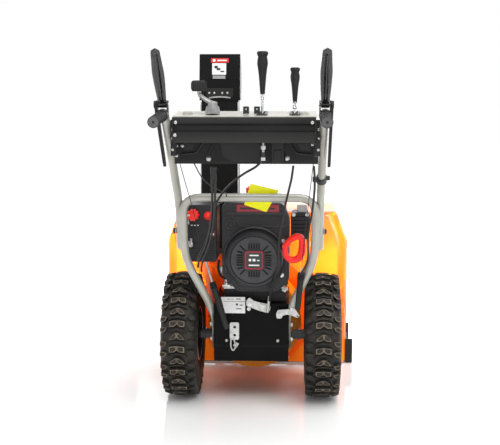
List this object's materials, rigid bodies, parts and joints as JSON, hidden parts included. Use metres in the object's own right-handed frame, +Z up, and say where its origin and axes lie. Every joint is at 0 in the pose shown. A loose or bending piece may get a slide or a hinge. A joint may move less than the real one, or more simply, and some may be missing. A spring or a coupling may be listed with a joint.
{
  "type": "two stage snowblower",
  "caption": "Walk-behind two stage snowblower with an auger intake, impeller drum, turning chute, petrol engine, snow tyres and lever-operated handlebars.",
  "frame": {"origin": "on the ground, below the middle of the wheel axle, which is also the middle of the object's length and width", "axes": "+Y is the direction of travel, +X is the operator's right, +Z is up"},
  "size_m": [0.65, 1.3213, 1.036],
  "materials": {
    "orange_paint": "gloss enamel",
    "black_paint": "satin powder coat",
    "silver_paint": "satin powder coat",
    "cream_paint": "satin",
    "zinc_steel": "zinc plated",
    "bare_steel": "ground",
    "chrome": "polished",
    "cast_aluminium": "as cast",
    "black_plastic": "grained",
    "red_plastic": "gloss",
    "grip_rubber": "ribbed",
    "belt_rubber": "matt",
    "tyre_rubber": "matt",
    "cable_jacket": "satin",
    "muffler_steel": "heat resistant black",
    "friction_rubber": "matt"
  },
  "bodies": {
    "machine": {"auger_housing": "orange_paint", "side_plate_left": "orange_paint", "side_plate_right": "orange_paint", "scraper_bar": "bare_steel", "skid_shoes": "black_paint", "impeller_drum": "orange_paint", "auger_gearbox": "cast_aluminium", "chute_ring": "black_paint", "transmission_case": "black_paint", "transmission_cover": "black_paint", "belts_and_chain": "belt_rubber", "bearings": "bare_steel", "belt_cover": "orange_paint", "engine_block": "cast_aluminium", "engine_shroud": "black_plastic", "recoil_cover": "black_plastic", "fuel_tank": "black_plastic", "carburettor_cover": "black_plastic", "muffler": "muffler_steel", "lower_handle": "silver_paint", "upper_handles": "silver_paint", "handle_grips": "grip_rubber", "lever_brackets": "black_paint", "dash_panel": "cream_paint", "dash_channel": "black_paint", "dash_bracket": "black_paint", "control_cables": "cable_jacket", "cable_boots": "black_plastic", "fasteners": "zinc_steel"},
    "wheels": {"drive_axle": "black_paint", "wheel_rims": "black_paint", "tyres": "tyre_rubber"},
    "auger": {"auger_shaft": "bare_steel", "auger_flight_left": "orange_paint", "auger_flight_right": "orange_paint", "worm_wheel": "bare_steel"},
    "impeller": {"impeller": "orange_paint", "impeller_shaft": "bare_steel", "auger_pulley": "bare_steel"},
    "crankshaft": {"crankshaft": "bare_steel"},
    "traction_disc": {"drive_disc": "cast_aluminium"},
    "hex_shaft": {"hex_shaft": "bare_steel"},
    "friction_wheel": {"friction_wheel": "friction_rubber"},
    "chute": {"chute": "black_plastic"},
    "deflector": {"deflector": "black_plastic"},
    "drive_lever": {"drive_lever": "black_plastic"},
    "auger_lever": {"auger_lever": "black_plastic"},
    "speed_lever": {"speed_lever": "black_plastic"},
    "deflector_lever": {"deflector_lever": "black_plastic"},
    "chute_crank": {"chute_crank": "zinc_steel"},
    "crank_knob": {"crank_knob": "black_plastic"},
    "starter_grip": {"starter_grip": "red_plastic"},
    "choke_knob": {"choke_knob": "red_plastic"},
    "throttle_lever": {"throttle_lever": "black_plastic"},
    "fuel_cap": {"fuel_cap": "red_plastic"},
    "shift_arm": {"shift_arm": "zinc_steel"},
    "clutch_link": {"clutch_link": "zinc_steel"},
    "clutch_arm": {"clutch_arm": "zinc_steel"},
    "rocker_switch_left": {"rocker_switch_left": "black_plastic"},
    "rocker_switch_right": {"rocker_switch_right": "black_plastic"}
  },
  "joints": [
    {"name": "axle_spin", "type": "hinge", "parent": "machine", "child": "wheels", "pos_m": [0, 0, 0.188], "axis": [1, 0, 0], "continuous": true},
    {"name": "hex_shaft_spin", "type": "hinge", "parent": "machine", "child": "hex_shaft", "pos_m": [0, -0.03, 0.262], "axis": [1, 0, 0], "continuous": true},
    {"name": "friction_wheel_shift", "type": "slide", "parent": "hex_shaft", "child": "friction_wheel", "axis": [1, 0, 0], "range_m": [-0.028, 0.028]},
    {"name": "crankshaft_spin", "type": "hinge", "parent": "machine", "child": "crankshaft", "pos_m": [0.012, 0, 0.45], "axis": [0, 1, 0], "continuous": true},
    {"name": "traction_disc_spin", "type": "hinge", "parent": "machine", "child": "traction_disc", "pos_m": [0, 0, 0.245], "axis": [0, 1, 0], "continuous": true},
    {"name": "impeller_spin", "type": "hinge", "parent": "machine", "child": "impeller", "pos_m": [0, 0, 0.192], "axis": [0, 1, 0], "continuous": true},
    {"name": "auger_spin", "type": "hinge", "parent": "machine", "child": "auger", "pos_m": [0, 0.465, 0.152], "axis": [1, 0, 0], "continuous": true},
    {"name": "chute_turn", "type": "hinge", "parent": "machine", "child": "chute", "pos_m": [-0.112, 0.215, 0.43], "axis": [0, 0, 1], "range_deg": [-95, 95]},
    {"name": "chute_crank_turn", "type": "hinge", "parent": "machine", "child": "chute_crank", "pos_m": [-0.082, -0.42, 0.87], "axis": [0, 0, 1], "range_deg": [-760, 760]},
    {"name": "crank_knob_spin", "type": "hinge", "parent": "chute_crank", "child": "crank_knob", "pos_m": [-0.116, -0.42, 0.92], "axis": [0, 0, 1], "continuous": true},
    {"name": "deflector_tilt", "type": "hinge", "parent": "chute", "child": "deflector", "pos_m": [-0.112, 0.183, 0.9], "axis": [-1, 0, 0], "range_deg": [0, 60]},
    {"name": "deflector_lever_tilt", "type": "hinge", "parent": "machine", "child": "deflector_lever", "pos_m": [0.123, -0.405, 0.812], "axis": [-1, 0, 0], "range_deg": [0, 24]},
    {"name": "speed_lever_tilt", "type": "hinge", "parent": "machine", "child": "speed_lever", "pos_m": [0.042, -0.405, 0.812], "axis": [-1, 0, 0], "range_deg": [-16, 16]},
    {"name": "shift_arm_turn", "type": "hinge", "parent": "machine", "child": "shift_arm", "pos_m": [-0.006, -0.12, 0.294], "axis": [0, 1, 0], "range_deg": [-9.6, 9.6]},
    {"name": "drive_lever_squeeze", "type": "hinge", "parent": "machine", "child": "drive_lever", "pos_m": [-0.195, -0.508, 0.884], "axis": [1, 0, 0], "range_deg": [0, 53], "stiffness_Nm_per_rad": 2, "springref_deg": -20.05},
    {"name": "auger_lever_squeeze", "type": "hinge", "parent": "machine", "child": "auger_lever", "pos_m": [0.195, -0.508, 0.884], "axis": [1, 0, 0], "range_deg": [0, 53], "stiffness_Nm_per_rad": 2, "springref_deg": -20.05},
    {"name": "clutch_link_pull", "type": "slide", "parent": "machine", "child": "clutch_link", "axis": [0, 0, 1], "range_m": [0, 0.012]},
    {"name": "clutch_arm_turn", "type": "hinge", "parent": "machine", "child": "clutch_arm", "pos_m": [0.086, -0.12, 0.279], "axis": [0, -1, 0], "range_deg": [0, 13.25]},
    {"name": "starter_pull", "type": "slide", "parent": "machine", "child": "starter_grip", "axis": [0, -1, 0], "range_m": [0, 0.45], "stiffness_N_per_m": 8, "springref_m": -0.5},
    {"name": "choke_turn", "type": "hinge", "parent": "machine", "child": "choke_knob", "pos_m": [-0.165, -0.13, 0.568], "axis": [0, 1, 0], "range_deg": [0, 90]},
    {"name": "throttle_turn", "type": "hinge", "parent": "machine", "child": "throttle_lever", "pos_m": [-0.172, -0.125, 0.48], "axis": [0, 1, 0], "range_deg": [-50, 50]},
    {"name": "fuel_cap_turn", "type": "hinge", "parent": "machine", "child": "fuel_cap", "pos_m": [0.004, -0.02, 0.631], "axis": [0, 0, 1], "range_deg": [0, 90]},
    {"name": "rocker_left_press", "type": "hinge", "parent": "machine", "child": "rocker_switch_left", "pos_m": [0.002, -0.425, 0.863], "axis": [1, 0, 0], "range_deg": [-7, 7]},
    {"name": "rocker_right_press", "type": "hinge", "parent": "machine", "child": "rocker_switch_right", "pos_m": [0.029, -0.425, 0.863], "axis": [1, 0, 0], "range_deg": [-7, 7]}
  ],
  "couplings": [
    {"joint": "hex_shaft_spin", "follows": "axle_spin", "ratio": 2.1},
    {"joint": "traction_disc_spin", "follows": "crankshaft_spin", "ratio": 0.375},
    {"joint": "auger_spin", "follows": "impeller_spin", "ratio": -0.1},
    {"joint": "chute_crank_turn", "follows": "chute_turn", "ratio": 8},
    {"joint": "deflector_lever_tilt", "follows": "deflector_tilt", "ratio": 0.4},
    {"joint": "friction_wheel_shift", "follows": "speed_lever_tilt", "m_per_rad": 0.1002},
    {"joint": "shift_arm_turn", "follows": "speed_lever_tilt", "ratio": 0.6},
    {"joint": "clutch_link_pull", "follows": "drive_lever_squeeze", "m_per_rad": 0.01296},
    {"joint": "clutch_arm_turn", "follows": "auger_lever_squeeze", "ratio": 0.25}
  ]
}
